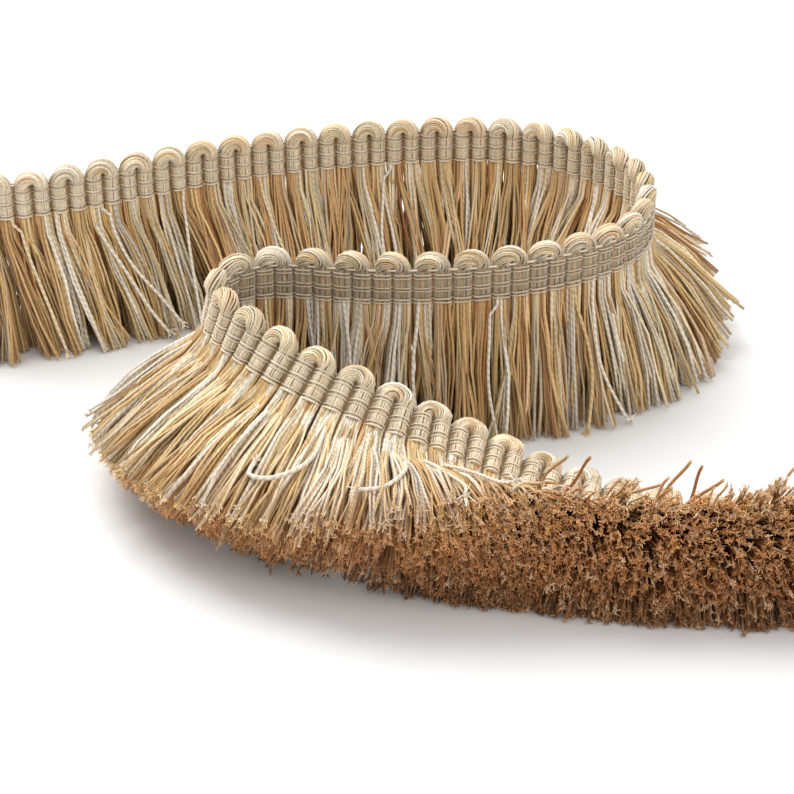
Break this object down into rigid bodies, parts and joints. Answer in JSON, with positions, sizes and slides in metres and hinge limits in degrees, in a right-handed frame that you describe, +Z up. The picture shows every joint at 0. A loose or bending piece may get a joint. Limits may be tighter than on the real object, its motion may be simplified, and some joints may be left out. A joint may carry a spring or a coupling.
{
  "type": "brush fringe trim",
  "caption": "Cut yarn brush fringe on a scalloped woven heading, standing on its yarn ends in a loose double bend.",
  "frame": {"origin": "middle of the overall box, at the level of the surface it stands on", "axes": "+Z up from the surface to the looped upper edge, +X along the lying length from the far left end to the near right end, -Y towards the leaning near run"},
  "size_m": [0.23, 0.1962, 0.047],
  "materials": {
    "heading_yarn": "matt cotton",
    "brush_yarn": "matt cut cotton yarn"
  },
  "bodies": {
    "root": {"heading": "heading_yarn", "fringe_01": "brush_yarn", "fringe_02": "brush_yarn", "fringe_03": "brush_yarn", "fringe_04": "brush_yarn", "fringe_05": "brush_yarn", "fringe_06": "brush_yarn", "fringe_07": "brush_yarn", "fringe_08": "brush_yarn", "fringe_09": "brush_yarn", "fringe_10": "brush_yarn", "fringe_11": "brush_yarn", "fringe_12": "brush_yarn", "fringe_13": "brush_yarn", "fringe_14": "brush_yarn", "fringe_15": "brush_yarn", "fringe_16": "brush_yarn"}
  },
  "joints": []
}
